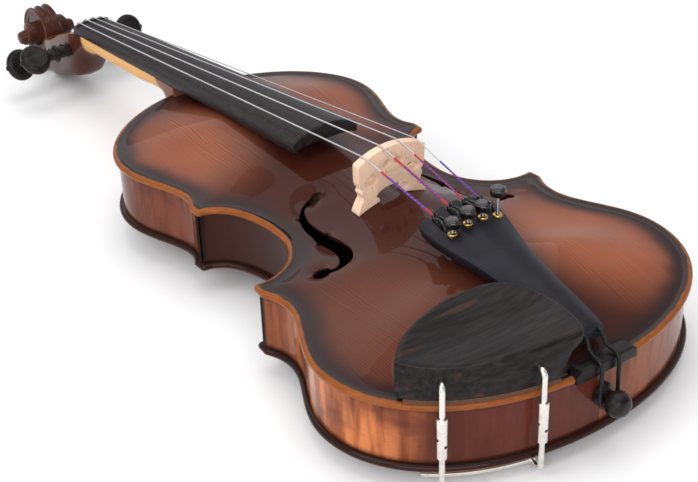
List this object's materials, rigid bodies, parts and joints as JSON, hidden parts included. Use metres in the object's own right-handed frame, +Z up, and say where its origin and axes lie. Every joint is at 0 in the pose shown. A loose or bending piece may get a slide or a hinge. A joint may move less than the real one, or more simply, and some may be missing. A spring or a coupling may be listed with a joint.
{
  "type": "violin",
  "caption": "Bowed string instrument with a varnished arched body, carved scroll, tuning pegs, fine tuners and a clamped chinrest.",
  "frame": {"origin": "on the floor under the middle of the violin lying on its back", "axes": "+Y from the endpin towards the scroll, +X to the treble side, +Z up out of the belly; the body is pitched 1.8 degrees, because the back arch and the scroll both touch the floor"},
  "size_m": [0.208, 0.602, 0.095],
  "materials": {
    "belly_varnish": "gloss varnish over spruce, shaded from amber to brown",
    "maple_varnish": "gloss varnish over flamed maple",
    "bridge_maple": "bare, scraped smooth",
    "spruce": "bare, inside the body",
    "ebony": "satin, oiled",
    "black_plastic": "satin moulded",
    "nickel": "nickel plate",
    "brass": "turned, bright",
    "string_steel": "fine wound steel and aluminium",
    "cork": "cork sheet, matt",
    "tailgut_nylon": "black cord"
  },
  "bodies": {
    "violin": {"back": "maple_varnish", "bass_bar": "spruce", "belly": "belly_varnish", "bridge": "bridge_maple", "chinrest": "ebony", "chinrest_cork": "cork", "clamp_rod_inner": "nickel", "clamp_rod_outer": "nickel", "corner_block_lower_bass": "spruce", "corner_block_lower_treble": "spruce", "corner_block_upper_bass": "spruce", "corner_block_upper_treble": "spruce", "end_block": "spruce", "endpin": "ebony", "fingerboard": "ebony", "lining_back_bass": "spruce", "lining_back_treble": "spruce", "lining_belly_bass": "spruce", "lining_belly_treble": "spruce", "neck": "maple_varnish", "neck_block": "spruce", "nut": "ebony", "rib_lower_bass": "maple_varnish", "rib_lower_treble": "maple_varnish", "rib_upper_bass": "maple_varnish", "rib_upper_treble": "maple_varnish", "rib_waist_bass": "maple_varnish", "rib_waist_treble": "maple_varnish", "saddle": "ebony", "sound_post": "spruce", "string_a": "string_steel", "string_d": "string_steel", "string_e": "string_steel", "string_g": "string_steel", "tailgut": "tailgut_nylon", "tailpiece": "black_plastic", "tuner_insert_a": "brass", "tuner_insert_d": "brass", "tuner_insert_e": "brass", "tuner_insert_g": "brass"},
    "peg_g": {"peg_g": "ebony"},
    "peg_e": {"peg_e": "ebony"},
    "peg_d": {"peg_d": "ebony"},
    "peg_a": {"peg_a": "ebony"},
    "tuner_screw_g": {"tuner_screw_g": "nickel"},
    "tuner_head_g": {"tuner_head_g": "black_plastic"},
    "tuner_lever_g": {"tuner_lever_g": "black_plastic"},
    "tuner_screw_d": {"tuner_screw_d": "nickel"},
    "tuner_head_d": {"tuner_head_d": "black_plastic"},
    "tuner_lever_d": {"tuner_lever_d": "black_plastic"},
    "tuner_screw_a": {"tuner_screw_a": "nickel"},
    "tuner_head_a": {"tuner_head_a": "black_plastic"},
    "tuner_lever_a": {"tuner_lever_a": "black_plastic"},
    "tuner_screw_e": {"tuner_screw_e": "nickel"},
    "tuner_head_e": {"tuner_head_e": "black_plastic"},
    "tuner_lever_e": {"tuner_lever_e": "black_plastic"},
    "clamp_barrel_outer": {"clamp_barrel_outer": "nickel"},
    "clamp_barrel_inner": {"clamp_barrel_inner": "nickel"},
    "clamp_bracket": {"clamp_bracket": "nickel", "bracket_cork": "cork"}
  },
  "joints": [
    {"name": "peg_g_turn", "type": "hinge", "parent": "violin", "child": "peg_g", "pos_m": [0, 0.21229, 0.03764], "axis": [-1, 0, 0], "continuous": true},
    {"name": "peg_e_turn", "type": "hinge", "parent": "violin", "child": "peg_e", "pos_m": [0, 0.22492, 0.03353], "axis": [1, 0, 0], "continuous": true},
    {"name": "peg_d_turn", "type": "hinge", "parent": "violin", "child": "peg_d", "pos_m": [0, 0.2397, 0.02499], "axis": [-1, 0, 0], "continuous": true},
    {"name": "peg_a_turn", "type": "hinge", "parent": "violin", "child": "peg_a", "pos_m": [0, 0.25183, 0.02087], "axis": [1, 0, 0], "continuous": true},
    {"name": "tuner_g_travel", "type": "slide", "parent": "violin", "child": "tuner_screw_g", "axis": [0, 0.0314, -0.9995], "range_m": [-0.0005, 0.0015]},
    {"name": "tuner_g_turn", "type": "hinge", "parent": "tuner_screw_g", "child": "tuner_head_g", "pos_m": [-0.0138, -0.19827, 0.08092], "axis": [0, 0.0314, -0.9995], "range_deg": [-361, 1081]},
    {"name": "tuner_g_lever", "type": "hinge", "parent": "violin", "child": "tuner_lever_g", "pos_m": [-0.0138, -0.19009, 0.07514], "axis": [1, 0, 0], "range_deg": [-3.7, 10.9]},
    {"name": "tuner_d_travel", "type": "slide", "parent": "violin", "child": "tuner_screw_d", "axis": [0, 0.0314, -0.9995], "range_m": [-0.0005, 0.0015]},
    {"name": "tuner_d_turn", "type": "hinge", "parent": "tuner_screw_d", "child": "tuner_head_d", "pos_m": [-0.0046, -0.19835, 0.08325], "axis": [0, 0.0314, -0.9995], "range_deg": [-361, 1081]},
    {"name": "tuner_d_lever", "type": "hinge", "parent": "violin", "child": "tuner_lever_d", "pos_m": [-0.0046, -0.19015, 0.07723], "axis": [1, 0, 0], "range_deg": [-3.7, 10.9]},
    {"name": "tuner_a_travel", "type": "slide", "parent": "violin", "child": "tuner_screw_a", "axis": [0, 0.0314, -0.9995], "range_m": [-0.0005, 0.0015]},
    {"name": "tuner_a_turn", "type": "hinge", "parent": "tuner_screw_a", "child": "tuner_head_a", "pos_m": [0.0046, -0.19835, 0.08325], "axis": [0, 0.0314, -0.9995], "range_deg": [-361, 1081]},
    {"name": "tuner_a_lever", "type": "hinge", "parent": "violin", "child": "tuner_lever_a", "pos_m": [0.0046, -0.19015, 0.07723], "axis": [1, 0, 0], "range_deg": [-3.7, 10.9]},
    {"name": "tuner_e_travel", "type": "slide", "parent": "violin", "child": "tuner_screw_e", "axis": [0, 0.0314, -0.9995], "range_m": [-0.0005, 0.0015]},
    {"name": "tuner_e_turn", "type": "hinge", "parent": "tuner_screw_e", "child": "tuner_head_e", "pos_m": [0.0138, -0.19849, 0.08792], "axis": [0, 0.0314, -0.9995], "range_deg": [-361, 1081]},
    {"name": "tuner_e_lever", "type": "hinge", "parent": "violin", "child": "tuner_lever_e", "pos_m": [0.0138, -0.19009, 0.07514], "axis": [1, 0, 0], "range_deg": [-3.7, 10.9]},
    {"name": "clamp_outer_turn", "type": "hinge", "parent": "violin", "child": "clamp_barrel_outer", "pos_m": [-0.0787, -0.26983, 0.0435], "axis": [0, -0.0314, 0.9995], "range_deg": [0, 901]},
    {"name": "clamp_inner_turn", "type": "hinge", "parent": "violin", "child": "clamp_barrel_inner", "pos_m": [-0.0374, -0.28802, 0.04293], "axis": [0, -0.0314, 0.9995], "range_deg": [0, 901]},
    {"name": "clamp_bracket_travel", "type": "slide", "parent": "violin", "child": "clamp_bracket", "axis": [0, 0.0314, -0.9995], "range_m": [0, 0.0025]}
  ],
  "couplings": [
    {"joint": "tuner_g_turn", "follows": "tuner_g_travel", "rad_per_m": 12566},
    {"joint": "tuner_g_lever", "follows": "tuner_g_travel", "rad_per_m": 125},
    {"joint": "tuner_d_turn", "follows": "tuner_d_travel", "rad_per_m": 12566},
    {"joint": "tuner_d_lever", "follows": "tuner_d_travel", "rad_per_m": 125},
    {"joint": "tuner_a_turn", "follows": "tuner_a_travel", "rad_per_m": 12566},
    {"joint": "tuner_a_lever", "follows": "tuner_a_travel", "rad_per_m": 125},
    {"joint": "tuner_e_turn", "follows": "tuner_e_travel", "rad_per_m": 12566},
    {"joint": "tuner_e_lever", "follows": "tuner_e_travel", "rad_per_m": 125},
    {"joint": "clamp_outer_turn", "follows": "clamp_bracket_travel", "rad_per_m": 6283.2},
    {"joint": "clamp_inner_turn", "follows": "clamp_bracket_travel", "rad_per_m": 6283.2}
  ]
}
